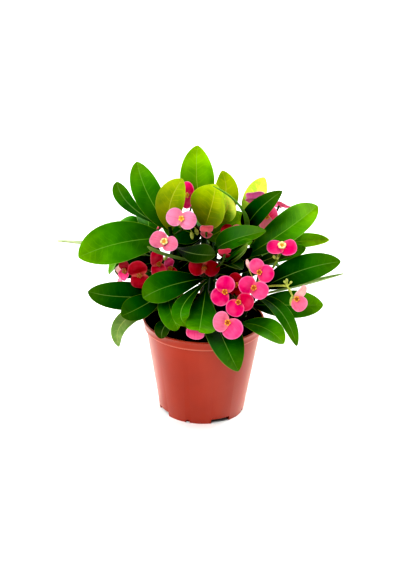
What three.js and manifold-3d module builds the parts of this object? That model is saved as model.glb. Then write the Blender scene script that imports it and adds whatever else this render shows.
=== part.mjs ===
// Potted euphorbia: a plastic pot, its soil, spiny stems, leafy shoots and clusters of paired pink bracts.
// Millimetres, Z up. X runs to the right, Y away from the viewer. The pot stands on Z = 0, on the axis.

import * as THREE from 'three';
import { mergeVertices } from 'three/addons/utils/BufferGeometryUtils.js';
import Module from 'manifold-3d';

const wasm = await Module();
wasm.setup();

// Pot
const POT_SIDES = 40;
const POT_HEIGHT = 97;
const RIM_RADIUS = 60;
const RIM_WALL = 1.8;
const LIP_Z = 88;
const LIP_RADIUS = 58.5;
const LIP_STEP = 0.6;
const BODY_TOP_RADIUS = 56.8;
const BASE_RADIUS = 42.3;
const WALL = 1.4;
const FLOOR = 1.5;

// Feet: four wide arches, each the mouth of a channel under the floor, and a small notch between each two
const FOOT_TURN = 26.5;
const CHANNEL_WIDTH = 20;
const CHANNEL_HEIGHT = 4.6;
const CHANNEL_INNER = 18;
const NOTCH_WIDTH = 4.4;
const NOTCH_HEIGHT = 3;
const NOTCH_INNER = 39.5;
const DRAIN_RADIUS = 3.5;
const DRAIN_PITCH = 28;
const DRAIN_SIDES = 10;
const BELOW = 2;

// Soil and the clearance kept between pieces that touch
const GAP = 0.3;
const SOIL_Z = 87.5;
const HOLE_GAP = 0.35;

// Stems: brown wood below, green above, with spines all round
const STEM_SIDES = 6;
const WOOD_RADIUS = 4.6;
const SPLIT_RADIUS = 3.6;
const SHOOT_RADIUS = 2.3;
const SHOOT_END = 1.03;
const SPINE_LENGTH = 8;
const SPINE_RADIUS = 1.1;
const SPINE_TIP_RADIUS = 0.3;
const SPINE_ROOT = 1.6;
const SPINE_PITCH = 9;
const SPINE_PHASE = 0.6;
const SPINE_TURN = 137.5;
const SPINE_START_Z = 98;
const SPINE_MARGIN = 0.05;

// Leaves: half widths of foot and tip, shares of the length, and how deep the foot sits in the stem
const LEAF_THICKNESS = 0.8;
const PETIOLE = 1.2;
const TIP = 0.5;
const LEAF_STATIONS = [0, 0.13, 0.33, 0.57, 0.79, 0.94, 1];
const LEAF_POINT = 0.68;
const LEAF_NECK = 0.12;
const LEAF_NECK_WIDTH = 0.3;
const LEAF_ROOT = 1.4;
const FAR_PEAK = 0.6;
const FAR_FOLD = 14;

// Pairs of bracts: stations, radius and middle are shares of the length of one bract
const BRACT_THICKNESS = 0.75;
const PAIR_STATIONS = [-1, -0.8, -0.5, -0.2, 0, 0.2, 0.5, 0.8, 1];
const BRACT_RADIUS = 0.6;
const BRACT_MIDDLE = 0.42;
const BRACT_ROOT = 0.2;
const BRACT_RISE = 1.8;

// The small cup in the middle of each pair, and the stalks
const CUP_SIDES = 6;
const CUP_HEIGHT = 2.4;
const CUP_FOOT_RADIUS = 1.5;
const CUP_RADIUS = 2.6;
const STALK_SIDES = 4;
const STALK_RADIUS = 1.3;
const STALK_ARCH = 2;
const PEDICEL_RADIUS = 1;
const PEDICEL_SINK = 0.1;

// Each stem: name, foot, bend, top, and the share of its length where wood turns green
const STEMS = [
  ["west", [-18, 4, 64], [-24, 2, 130], [-34, 4, 188], 0.6],
  ["crown", [0, 12, 64], [0, 10, 130], [-2, 24, 196], 0.72],
  ["east", [22, 12, 64], [28, 14, 130], [40, 22, 188], 0.48],
  ["southeast", [26, -14, 64], [34, -16, 110], [56, -26, 142], 0.36],
  ["southwest", [-18, -18, 64], [-20, -16, 110], [-36, -26, 140], 0.42],
  ["south", [-2, -26, 64], [-2, -24, 120], [3, -30, 152], 0.6],
  ["front", [10, -40, 64], [12, -38, 90], [12, -48, 120], 0.6],
  ["heart", [6, -6, 64], [6, -6, 120], [10, -10, 174], 0.6],
  ["northwest", [-20, 30, 64], [-24, 34, 110], [-56, 46, 152], 0.5],
  ["north", [4, 36, 64], [4, 38, 110], [6, 62, 160], 0.5],
  ["northeast", [26, 30, 64], [32, 34, 110], [54, 50, 160], 0.5],
];

// Each leaf: stem, share along it, rib middle, tip, width, roll about its line, where it is widest, fold
const LEAVES = [
  ["west", 0.92, [-78, -16, 182], [-121, -35, 173], 44, -45, 0.6, 14],
  ["west", 1.0, [-72.5, 20, 205], [-87.5, 30, 227], 16, -60, 0.72, 14],
  ["west", 1.0, [-57, 14, 221], [-68, 25, 250], 29, -45, 0.5, 14],
  ["west", 0.97, [-35, 4, 213], [-23, 6, 240], 29, 60, 0.6, 14],
  ["west", 0.85, [-11, -32, 178], [10, -46, 183], 22, 45, 0.7, 14],
  ["west", 0.75, [-67, -2, 151], [-88, -5, 147], 22, -60, 0.6, 14],
  ["heart", 0.85, [-35, -30, 174], [-55, -42, 189], 9, 30, 0.6, 14],
  ["heart", 1.0, [26, -20, 188], [58, -22, 199], 26, 42, 0.5, 20],
  ["heart", 0.8, [31, -28, 182], [45, -34, 193], 12, 60, 0.5, 20],
  ["heart", 0.8, [33, -34, 178], [40, -40, 193], 10, 60, 0.5, 20],
  ["heart", 0.9, [24, -30, 168], [36, -40, 166], 22, 0, 0.6, 14],
  ["crown", 1.0, [-9.5, 36, 227], [-9.5, 45, 261], 35, -10, 0.53, 14],
  ["crown", 0.9, [6, 8, 214], [9, 2, 237], 43, 120, 0.55, 24],
  ["crown", 0.95, [20, 5, 209.2], [14.5, 2, 230], 23, 115, 0.6, 14],
  ["crown", 1.0, [18, 31, 211], [15, 38, 238], 28, 40, 0.52, 14],
  ["crown", 0.86, [-21, 24, 180], [-44, 30, 194], 30, -60, 0.55, 14],
  ["crown", 0.82, [19, 26, 182], [38, 38, 190], 28, 60, 0.55, 14],
  ["crown", 0.82, [-18, 30, 156], [-34, 32, 140], 26, -60, 0.6, 14],
  ["heart", 0.7, [17, 8, 140], [38, 6, 130], 24, 60, 0.55, 14],
  ["crown", 0.78, [-18, 14, 148], [-33, 15, 139], 24, -60, 0.6, 14],
  ["east", 0.62, [43, 12, 156], [57, 20, 148], 21, 50, 0.6, 14],
  ["east", 0.58, [68, -4, 165], [87, -8, 170], 11, 60, 0.5, 14],
  ["east", 0.97, [32, -4, 217], [6, -14, 241], 12, -20, 0.4, 14],
  ["east", 1.0, [46, 38, 205], [57.5, 48, 228], 22.5, 20, 0.6, 14],
  ["east", 0.95, [50.5, 8, 208], [73, 0, 232], 22, 90, 0.45, 14],
  ["east", 0.7, [76.5, 14, 184], [109, 20, 210], 36, 40, 0.62, 14],
  ["east", 0.6, [72, 24, 153], [100, 28, 162], 14, 50, 0.7, 14],
  ["northeast", 0.9, [88, 46, 160], [124, 45, 164], 18, 35, 0.6, 14],
  ["southeast", 0.97, [93, -16, 156], [132, -10, 164], 29, 50, 0.52, 14],
  ["southeast", 0.85, [96, -8, 137], [137, 5, 145], 16, -20, 0.6, 14],
  ["southeast", 0.7, [80, -26, 123.5], [116, -25, 124], 29, 50, 0.58, 14],
  ["southeast", 0.85, [74, -46, 125], [90, -60, 96], 16.5, 20, 0.55, 14],
  ["southeast", 0.42, [59, -40, 105], [78, -50, 93.5], 25, 20, 0.58, 14],
  ["south", 1.0, [-33, -48, 151], [-58, -58, 142], 32, -40, 0.62, 14],
  ["southwest", 1.0, [-32, -56, 129], [-24, -64, 113], 28, 0, 0.6, 14],
  ["south", 0.95, [-20, -72, 140.5], [-17, -82, 125.5], 18, 0, 0.6, 14],
  ["south", 0.92, [-2, -70, 130], [-4, -80, 119], 36, -8, 0.68, 14],
  ["front", 0.9, [21, -72, 102], [34, -85, 80], 39, 0, 0.4, 14],
  ["southwest", 0.85, [-80, -30, 130.5], [-112.5, -30, 135.5], 29.5, -50, 0.47, 14],
  ["southwest", 0.95, [-60, -42, 126], [-79, -54, 121], 26, -40, 0.62, 14],
  ["southwest", 0.75, [-75.5, -26, 105], [-82.5, -24, 74], 17, -60, 0.5, 14],
  ["southwest", 0.5, [-37, -46, 108], [-40, -54, 98], 17, 0, 0.6, 14],
  ["northwest", 0.95, [-101, 38, 155], [-148.5, 34, 161.3], 16, 10, 0.6, 14],
];

// Leaves of the far side: stem, share along it, heading, rise at the foot, fall along it, length, width
const FAR_LEAVES = [
  ["northwest", 1.0, 95, 45, 60, 62, 26],
  ["northwest", 1.0, 150, 40, 70, 60, 27],
  ["northwest", 0.85, 200, 20, 60, 60, 26],
  ["northwest", 0.75, 125, 15, 70, 56, 26],
  ["northwest", 0.6, 165, 0, 60, 52, 24],
  ["north", 0.93, 50, 40, 60, 58, 27],
  ["north", 0.9, 125, 38, 60, 60, 27],
  ["north", 0.95, 90, 30, 80, 56, 28],
  ["north", 0.8, 75, 10, 60, 54, 26],
  ["north", 0.65, 110, 0, 60, 48, 24],
  ["northeast", 0.88, 85, 38, 60, 60, 27],
  ["northeast", 0.9, 20, 30, 60, 58, 26],
  ["northeast", 0.8, 65, 15, 70, 56, 26],
  ["northeast", 0.7, 20, 10, 60, 54, 24],
  ["northeast", 0.6, 45, 0, 60, 50, 24],
  ["crown", 0.95, 110, 60, 60, 54, 26],
  ["crown", 0.9, 60, 50, 60, 52, 24],
  ["north", 0.98, 0, 50, 40, 46, 26],
  ["north", 0.9, 185, 50, 40, 46, 26],
];

// Flower stalks: cluster, stem, share along it, the point where they part
const CLUSTERS = [
  ["01", "west", 0.93, [-22, 2, 189]],
  ["02", "west", 0.8, [-38, -14, 177]],
  ["03", "west", 0.66, [-61, -14, 150]],
  ["04", "west", 0.72, [-41, -16, 162]],
  ["05", "heart", 0.74, [3, -24, 160]],
  ["06", "crown", 0.85, [1, 4, 182]],
  ["07", "east", 0.86, [30, 12, 184]],
  ["08", "east", 0.9, [49, 26, 197]],
  ["09", "southeast", 0.99, [70, -17, 166]],
  ["10", "southeast", 0.9, [50, -36, 149]],
  ["11", "heart", 0.7, [26, -38, 144]],
  ["12", "front", 0.97, [18, -58, 119]],
  ["13", "southeast", 1.0, [80, -38, 149]],
  ["14", "northwest", 0.9, [-52, 74, 160]],
  ["15", "north", 1.03, [7, 72, 180]],
  ["16", "northeast", 1.03, [62, 60, 176]],
];

// Each flower: cluster, middle, heading from the front, lift, turns of both bracts from upright, length
const FLOWERS = [
  ["01", [-23.5, -12, 206], 0, 25, 77, -103, 15],
  ["01", [-17.5, 19.5, 218.5], -35, 15, 180, 20, 13.5],
  ["02", [-39, -24, 186], -15, 45, 75, -105, 15.5],
  ["03", [-76, -26, 156.5], -40, 10, 165, 15, 10.5],
  ["03", [-62.5, -32, 155.5], 0, -10, 17, -174, 16],
  ["03", [-81, -14, 147], -60, 10, 27, -146, 10],
  ["04", [-45.5, -26, 164], 40, 15, 10, 172, 14.5],
  ["04", [-34.5, -16, 156], 30, 10, 10, -170, 10.5],
  ["05", [-0.5, -34, 165.5], 0, -5, 85, -95, 15],
  ["05", [18.5, -38, 181], 180, 45, 0, 180, 10.5],
  ["06", [1, -6, 190], 180, 35, 0, 180, 11],
  ["07", [26, 2, 187.5], 0, 20, 75, -80, 11.5],
  ["07", [36, 3, 187.5], 20, 20, 70, -75, 8.5],
  ["08", [47.5, 20, 215.5], 180, 45, 0, 180, 15.5],
  ["08", [59.5, 34, 192], 20, 20, -60, 165, 13],
  ["09", [74, -16, 181], 0, 55, 106, -109, 15],
  ["10", [52, -46, 166.5], 0, 20, 25, -103, 14.5],
  ["10", [47, -52, 153], 0, 15, 70, -115, 15],
  ["11", [19.5, -54, 149], 0, 15, -4, 138, 15.5],
  ["11", [32.5, -62, 142], 0, 15, -87, 152, 15],
  ["11", [30, -42, 152], 0, 0, 10, -170, 12],
  ["12", [22.5, -83, 130], 0, 20, 83, -142, 17.5],
  ["12", [-7.5, -62, 115.5], 0, -10, 178, 0, 15],
  ["13", [88, -44, 138.5], 20, 20, -152, -45, 13.5],
  ["14", [-46, 92, 158], 180, 30, 80, -100, 15],
  ["14", [-66, 78, 160], 200, 20, 30, -150, 15],
  ["15", [-6, 76, 196], 190, 60, 90, -90, 13],
  ["15", [17, 74, 201], 170, 70, 80, -100, 12],
  ["16", [74, 80, 186], 150, 50, 70, -110, 14],
  ["16", [60, 64, 192], 180, 80, 90, -90, 12],
];

// Colours
const POT_COLOUR = '#b0583c';
const SOIL_COLOUR = '#241a12';
const WOOD_COLOUR = '#7b6248';
const LEAF_COLOURS = ['#3f8a1c', '#4f9a1e', '#5ba524', '#357a1c', '#468f20'];
const BLOOM_COLOURS = ['#f06aa8', '#e8327f', '#d81f6a'];

const X_AXIS = new THREE.Vector3(1, 0, 0);
const Z_AXIS = new THREE.Vector3(0, 0, 1);
const point = (a) => new THREE.Vector3(a[0], a[1], a[2]);
const radians = THREE.MathUtils.degToRad;

// Straight and curved lines
function curve(p, s) {
  return p[0].clone().multiplyScalar((1 - s) ** 2)
    .addScaledVector(p[1], 2 * s * (1 - s))
    .addScaledVector(p[2], s * s);
}

function heading(p, s) {
  return p[1].clone().sub(p[0]).multiplyScalar(1 - s)
    .addScaledVector(p[2].clone().sub(p[1]), s)
    .normalize();
}

function through(start, middle, end) {
  const bend = middle.clone().multiplyScalar(2).addScaledVector(start, -0.5).addScaledVector(end, -0.5);
  return [start, bend, end];
}

function squareTo(v, axis) {
  return v.clone().addScaledVector(axis, -v.dot(axis)).normalize();
}

// A closed body through a row of rings that all have the same number of points
function loft(rings, mirrored, cap) {
  const n = rings[0].length;
  const positions = rings.flat().flatMap((v) => [v.x, v.y, v.z]);
  const index = [];
  for (let i = 0; i + 1 < rings.length; i += 1) {
    for (let k = 0; k < n; k += 1) {
      const a = i * n + k;
      const b = i * n + ((k + 1) % n);
      const c = b + n;
      const d = a + n;
      if (mirrored.includes(k)) {
        index.push(a, b, d, b, c, d);
      } else {
        index.push(a, b, c, a, c, d);
      }
    }
  }
  const last = (rings.length - 1) * n;
  for (const [a, b, c] of cap) {
    index.push(c, b, a);
    index.push(last + a, last + b, last + c);
  }
  const geometry = new THREE.BufferGeometry();
  geometry.setAttribute('position', new THREE.Float32BufferAttribute(positions, 3));
  geometry.setIndex(volume(positions, index) < 0 ? index.reverse() : index);
  return solid(geometry);
}

function volume(positions, index) {
  const p = (i) => new THREE.Vector3(positions[3 * i], positions[3 * i + 1], positions[3 * i + 2]);
  let sum = 0;
  for (let i = 0; i < index.length; i += 3) {
    sum += p(index[i]).dot(p(index[i + 1]).cross(p(index[i + 2])));
  }
  return sum;
}

function solid(geometry) {
  const bare = geometry.clone();
  bare.deleteAttribute('normal');
  bare.deleteAttribute('uv');
  const merged = mergeVertices(bare, 1e-4);
  return new wasm.Manifold(new wasm.Mesh({
    numProp: 3,
    vertProperties: new Float32Array(merged.attributes.position.array),
    triVerts: new Uint32Array(merged.index.array),
  }));
}

function join(solids) {
  return solids.reduce((whole, next) => whole.add(next));
}

function fan(n) {
  return Array.from({ length: n - 2 }, (_, k) => [0, k + 1, k + 2]);
}

// A tapering round bar along a curve
function bar(p, from, to, radiusAt, sides, steps) {
  const chord = p[2].clone().sub(p[0]).normalize();
  const side = Math.abs(chord.x) < 0.8 ? X_AXIS : Z_AXIS;
  const rings = [];
  for (let i = 0; i <= steps; i += 1) {
    const s = from + (to - from) * (i / steps);
    const along = heading(p, s);
    const u = squareTo(side, along);
    const v = along.clone().cross(u);
    const centre = curve(p, s);
    const radius = radiusAt(s);
    rings.push(Array.from({ length: sides }, (_, k) => {
      const angle = (2 * Math.PI * k) / sides;
      return centre.clone()
        .addScaledVector(u, radius * Math.cos(angle))
        .addScaledVector(v, radius * Math.sin(angle));
    }));
  }
  return loft(rings, [], fan(sides));
}

// A leaf: two flat halves that meet at the rib, the same thickness throughout
const LEAF_CAP = [[0, 1, 4], [0, 4, 5], [1, 2, 3], [1, 3, 4]];
const LEAF_UNDERSIDE = [3, 4];

function blade(p, face, halfWidthAt, fold) {
  const up = 0.5 * LEAF_THICKNESS / Math.cos(fold);
  const rings = LEAF_STATIONS.map((t) => {
    const centre = curve(p, t);
    const along = heading(p, t);
    const normal = squareTo(face, along);
    const side = along.clone().cross(normal);
    const half = halfWidthAt(t);
    const across = [1, 0, -1].map((share) => centre.clone()
      .addScaledVector(side, share * half * Math.cos(fold))
      .addScaledVector(normal, Math.abs(share) * half * Math.sin(fold)));
    const above = across.map((v) => v.clone().addScaledVector(normal, up));
    const below = across.toReversed().map((v) => v.clone().addScaledVector(normal, -up));
    return [...above, ...below];
  });
  return loft(rings, LEAF_UNDERSIDE, LEAF_CAP);
}

function leafHalfWidth(t, width, peak) {
  const rise = (LEAF_POINT * peak) / (1 - peak);
  const full = peak ** rise * (1 - peak) ** LEAF_POINT;
  const swell = (t ** rise * (1 - t) ** LEAF_POINT) / full;
  const share = swell * Math.min(1, LEAF_NECK_WIDTH + t / LEAF_NECK);
  return Math.max(0.5 * width * share, t < 0.5 ? PETIOLE : TIP);
}

function leaf(start, middle, tip, width, roll, peak, fold) {
  const line = tip.clone().sub(start).normalize();
  const face = squareTo(Z_AXIS, line).applyAxisAngle(line, radians(roll));
  const half = (t) => leafHalfWidth(t, width, peak);
  return blade(through(start, middle, tip), face, half, radians(fold));
}

function farLeaf(start, turn, rise, fall, length, width) {
  const flat = new THREE.Vector3(Math.cos(radians(turn)), Math.sin(radians(turn)), 0);
  const step = (angle) => flat.clone()
    .multiplyScalar(Math.cos(angle))
    .addScaledVector(Z_AXIS, Math.sin(angle));
  const middle = start.clone().addScaledVector(step(radians(rise)), length / 2);
  const tip = middle.clone().addScaledVector(step(radians(rise - fall)), length / 2);
  return leaf(start, middle, tip, width, 0, FAR_PEAK, FAR_FOLD);
}

// Stems
const paths = new Map(STEMS.map(([name, ...row]) => [name, row.slice(0, 3).map(point)]));
const splits = new Map(STEMS.map((row) => [row[0], row[4]]));

function woodRadius(s, split) {
  return WOOD_RADIUS + (SPLIT_RADIUS - WOOD_RADIUS) * (s / split);
}

function shootRadius(s, split) {
  return SPLIT_RADIUS + (SHOOT_RADIUS - SPLIT_RADIUS) * ((s - split) / (1 - split));
}

function node(name, s, towards) {
  const p = paths.get(name);
  const centre = curve(p, s);
  const out = squareTo(towards.clone().sub(centre), heading(p, s));
  return centre.addScaledVector(out, shootRadius(s, splits.get(name)) - LEAF_ROOT);
}

function spines(p, from, to, radiusAt, first) {
  const length = p[2].distanceTo(p[0]);
  const count = Math.floor(((to - from) * length) / SPINE_PITCH);
  const bodies = [];
  for (let i = 0; i < count; i += 1) {
    const s = from + ((to - from) * (i + SPINE_PHASE)) / count;
    const centre = curve(p, s);
    if (centre.z < SPINE_START_Z) continue;
    const along = heading(p, s);
    const out = squareTo(X_AXIS, along).applyAxisAngle(along, radians(SPINE_TURN * (i + first)));
    const root = centre.clone().addScaledVector(out, radiusAt(s) - SPINE_ROOT);
    const end = centre.clone().addScaledVector(out, radiusAt(s) + SPINE_LENGTH);
    const line = [root, root.clone().lerp(end, 0.5), end];
    bodies.push(bar(line, 0, 1, (t) => SPINE_RADIUS * (1 - t) + SPINE_TIP_RADIUS * t, 3, 1));
  }
  return bodies;
}

function wood(name) {
  const p = paths.get(name);
  const split = splits.get(name);
  const radius = (s) => woodRadius(s, split);
  const trunk = bar(p, 0, split, radius, STEM_SIDES, 3);
  return join([trunk, ...spines(p, SPINE_MARGIN, split - SPINE_MARGIN, radius, 0)]);
}

function shoot(name) {
  const p = paths.get(name);
  const split = splits.get(name);
  const radius = (s) => shootRadius(s, split);
  const lift = GAP / (2 * (1 - split) * p[1].distanceTo(p[0]) + 2 * split * p[2].distanceTo(p[1]));
  const stalk = bar(p, split + lift, SHOOT_END, radius, STEM_SIDES, 3);
  const near = LEAVES.filter((row) => row[0] === name).map(([, s, mid, tip, ...rest]) => {
    const middle = point(mid);
    return leaf(node(name, s, middle), middle, point(tip), ...rest);
  });
  const far = FAR_LEAVES.filter((row) => row[0] === name)
    .map(([, s, ...rest]) => farLeaf(curve(p, s), ...rest));
  const thorns = spines(p, split + SPINE_MARGIN, 1 - SPINE_MARGIN, radius, 3);
  return join([stalk, ...near, ...far, ...thorns]);
}

// Half the width of a pair of round bracts, at a share x of the bract length from their middle
function pairHalfWidth(x, size) {
  return size * Math.sqrt(BRACT_RADIUS ** 2 - (Math.abs(x) - BRACT_MIDDLE) ** 2);
}

// The two bracts leave the middle each at its own turn, and meet in a seam there
function flower(middle, turn, lift, one, other, size) {
  const a = radians(turn);
  const e = radians(lift);
  const face = new THREE.Vector3(Math.sin(a) * Math.cos(e), -Math.cos(a) * Math.cos(e), Math.sin(e));
  const upright = squareTo(Z_AXIS, face);
  const first = upright.clone().applyAxisAngle(face, radians(one));
  const second = upright.clone().applyAxisAngle(face, radians(other));
  const side = face.clone().cross(first.clone().sub(second).normalize());
  const rings = PAIR_STATIONS.map((x) => {
    const half = pairHalfWidth(x, size);
    const u = Math.max(0, Math.abs(x) - BRACT_ROOT) / (1 - BRACT_ROOT);
    const rise = BRACT_RISE * 4 * u * (1 - u);
    const centre = middle.clone()
      .addScaledVector(x < 0 ? second : first, Math.abs(x) * size)
      .addScaledVector(face, rise);
    const corner = (across, up) => centre.clone()
      .addScaledVector(side, across * half)
      .addScaledVector(face, 0.5 * up * BRACT_THICKNESS);
    return [corner(1, 1), corner(-1, 1), corner(-1, -1), corner(1, -1)];
  });
  const pair = loft(rings, [2], fan(4));
  return { face, bodies: [pair, cup(middle, face, first)] };
}

function cup(middle, face, first) {
  const side = face.clone().cross(first);
  const ring = (height, radius) => Array.from({ length: CUP_SIDES }, (_, k) => {
    const angle = (2 * Math.PI * k) / CUP_SIDES;
    return middle.clone()
      .addScaledVector(face, height)
      .addScaledVector(first, radius * Math.cos(angle))
      .addScaledVector(side, radius * Math.sin(angle));
  });
  return loft([ring(0, CUP_FOOT_RADIUS), ring(CUP_HEIGHT, CUP_RADIUS)], [], fan(CUP_SIDES));
}

function bloom([name, stem, s, hub]) {
  const p = paths.get(stem);
  const split = splits.get(stem);
  const parting = point(hub);
  const root = curve(p, s);
  const stalk = [root, root.clone().lerp(parting, 0.5).addScaledVector(Z_AXIS, STALK_ARCH), parting];
  const bodies = [bar(stalk, 0, 1, () => STALK_RADIUS, STALK_SIDES, 2)];
  for (const [, middle, ...rest] of FLOWERS.filter((row) => row[0] === name)) {
    const { face, bodies: parts } = flower(point(middle), ...rest);
    const back = point(middle).addScaledVector(face, -PEDICEL_SINK);
    const bend = back.clone().addScaledVector(face, -0.5 * parting.distanceTo(back));
    bodies.push(bar([parting, bend, back], 0, 1, () => PEDICEL_RADIUS, STALK_SIDES, 2), ...parts);
  }
  const top = SHOOT_END + GAP / (2 * p[2].distanceTo(p[1]));
  const seat = bar(p, split, top, (t) => shootRadius(t, split) + GAP, STEM_SIDES, 3);
  return join(bodies).subtract(seat);
}

// Pot and soil
function turned(profile, sides) {
  const geometry = new THREE.LatheGeometry(profile.map(([r, z]) => new THREE.Vector2(r, z)), sides);
  geometry.rotateX(Math.PI / 2);
  return solid(geometry);
}

// A block that reaches below the ground, so that it cuts through the pot's base
function block(width, height, inner, outer, turn) {
  const geometry = new THREE.BoxGeometry(outer - inner, width, height + BELOW);
  geometry.translate((inner + outer) / 2, 0, (height - BELOW) / 2);
  geometry.rotateZ(radians(turn - 90));
  return solid(geometry);
}

function quarters(make) {
  return [0, 90, 180, 270].map((turn) => make(turn));
}

function hollow(inset, lift) {
  const profile = [
    [0, FLOOR + lift],
    [BASE_RADIUS - WALL - inset, FLOOR + lift],
    [BODY_TOP_RADIUS - WALL - inset, LIP_Z - LIP_STEP / 2],
    [LIP_RADIUS - RIM_WALL - inset, LIP_Z + LIP_STEP / 2],
    [RIM_RADIUS - RIM_WALL - inset, POT_HEIGHT + 1],
    [0, POT_HEIGHT + 1],
  ];
  const bridges = quarters((turn) => block(
    CHANNEL_WIDTH + 2 * (WALL + inset),
    CHANNEL_HEIGHT + WALL + lift,
    CHANNEL_INNER - WALL - inset,
    BASE_RADIUS + 10,
    FOOT_TURN + turn,
  ));
  return bridges.reduce((whole, next) => whole.subtract(next), turned(profile, POT_SIDES));
}

function pot() {
  const profile = [
    [0, 0],
    [BASE_RADIUS, 0],
    [BODY_TOP_RADIUS, LIP_Z - LIP_STEP],
    [LIP_RADIUS, LIP_Z],
    [RIM_RADIUS, POT_HEIGHT],
    [0, POT_HEIGHT],
  ];
  const channels = quarters((turn) => block(
    CHANNEL_WIDTH, CHANNEL_HEIGHT, CHANNEL_INNER, BASE_RADIUS + 8, FOOT_TURN + turn,
  ));
  const notches = quarters((turn) => block(
    NOTCH_WIDTH, NOTCH_HEIGHT, NOTCH_INNER, BASE_RADIUS + 8, FOOT_TURN + turn + 45,
  ));
  const drains = quarters((turn) => {
    const height = 2 * CHANNEL_HEIGHT + BELOW;
    const geometry = new THREE.CylinderGeometry(DRAIN_RADIUS, DRAIN_RADIUS, height, DRAIN_SIDES);
    geometry.rotateX(Math.PI / 2);
    geometry.translate(DRAIN_PITCH, 0, CHANNEL_HEIGHT);
    geometry.rotateZ(radians(FOOT_TURN + turn - 90));
    return solid(geometry);
  });
  const cuts = [hollow(0, 0), ...channels, ...notches, ...drains];
  return cuts.reduce((whole, next) => whole.subtract(next), turned(profile, POT_SIDES));
}

function soil() {
  const wide = 2 * RIM_RADIUS;
  const above = turned([[0, SOIL_Z], [wide, SOIL_Z], [wide, 2 * SOIL_Z], [0, 2 * SOIL_Z]], 4);
  const holes = STEMS.map(([name]) => {
    const p = paths.get(name);
    const split = splits.get(name);
    const below = -GAP / p[1].distanceTo(p[0]) / 2;
    return bar(p, below, split, (s) => woodRadius(s, split) + HOLE_GAP, STEM_SIDES, 3);
  });
  return [above, ...holes].reduce((whole, next) => whole.subtract(next), hollow(GAP, GAP));
}

// The assembly
const plant = new THREE.Group();
plant.name = 'potted_euphorbia';

function place(name, body, colour, roughness) {
  const mesh = body.getMesh();
  const geometry = new THREE.BufferGeometry();
  geometry.setAttribute('position', new THREE.Float32BufferAttribute(mesh.vertProperties, 3));
  geometry.setIndex(Array.from(mesh.triVerts));
  const material = new THREE.MeshStandardMaterial({ color: colour, roughness, metalness: 0 });
  const part = new THREE.Mesh(geometry, material);
  part.name = name;
  plant.add(part);
}

place('pot', pot(), POT_COLOUR, 0.45);
place('soil', soil(), SOIL_COLOUR, 0.95);
STEMS.forEach(([name], i) => {
  place(`stem_${name}`, wood(name), WOOD_COLOUR, 0.8);
  place(`shoot_${name}`, shoot(name), LEAF_COLOURS[i % LEAF_COLOURS.length], 0.4);
});
CLUSTERS.forEach((row, i) => {
  place(`bloom_${row[0]}`, bloom(row), BLOOM_COLOURS[i % BLOOM_COLOURS.length], 0.5);
});

export default plant;
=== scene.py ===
# Looks of a potted euphorbia: fine leaves, bracts, stems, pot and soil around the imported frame.
# Places and sizes are in millimetres, as in the part's source, until they go into a mesh.

from itertools import combinations, product
from math import cos, hypot, pi, radians, sin, sqrt
from random import Random

import bpy
import numpy as np
from mathutils import Matrix, Vector
from numpy.linalg import norm


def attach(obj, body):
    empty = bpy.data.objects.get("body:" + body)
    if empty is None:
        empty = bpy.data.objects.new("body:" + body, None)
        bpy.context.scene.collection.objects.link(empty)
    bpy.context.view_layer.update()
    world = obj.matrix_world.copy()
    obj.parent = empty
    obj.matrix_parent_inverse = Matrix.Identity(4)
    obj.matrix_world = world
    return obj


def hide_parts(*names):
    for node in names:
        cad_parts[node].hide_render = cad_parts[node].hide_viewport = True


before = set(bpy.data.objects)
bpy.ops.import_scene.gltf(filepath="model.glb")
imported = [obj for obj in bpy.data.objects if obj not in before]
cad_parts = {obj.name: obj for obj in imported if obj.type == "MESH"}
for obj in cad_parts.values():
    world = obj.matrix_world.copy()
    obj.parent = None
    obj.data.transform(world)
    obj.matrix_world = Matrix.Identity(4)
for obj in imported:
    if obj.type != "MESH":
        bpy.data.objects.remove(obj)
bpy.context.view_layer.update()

scene = bpy.context.scene

MM = 0.001
Z_AXIS = np.array((0.0, 0.0, 1.0))
X_AXIS = np.array((1.0, 0.0, 0.0))

# Each stem: name, foot, bend, top, and the share of its length where wood turns green
STEMS = [
    ("west", (-18, 4, 64), (-24, 2, 130), (-34, 4, 188), 0.6),
    ("crown", (0, 12, 64), (0, 10, 130), (-2, 24, 196), 0.72),
    ("east", (22, 12, 64), (28, 14, 130), (40, 22, 188), 0.48),
    ("southeast", (26, -14, 64), (34, -16, 110), (56, -26, 142), 0.36),
    ("southwest", (-18, -18, 64), (-20, -16, 110), (-36, -26, 140), 0.42),
    ("south", (-2, -26, 64), (-2, -24, 120), (3, -30, 152), 0.6),
    ("front", (10, -40, 64), (12, -38, 90), (12, -48, 120), 0.6),
    ("heart", (6, -6, 64), (6, -6, 120), (10, -10, 174), 0.6),
    ("northwest", (-20, 30, 64), (-24, 34, 110), (-56, 46, 152), 0.5),
    ("north", (4, 36, 64), (4, 38, 110), (6, 62, 160), 0.5),
    ("northeast", (26, 30, 64), (32, 34, 110), (54, 50, 160), 0.5),
]

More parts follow.
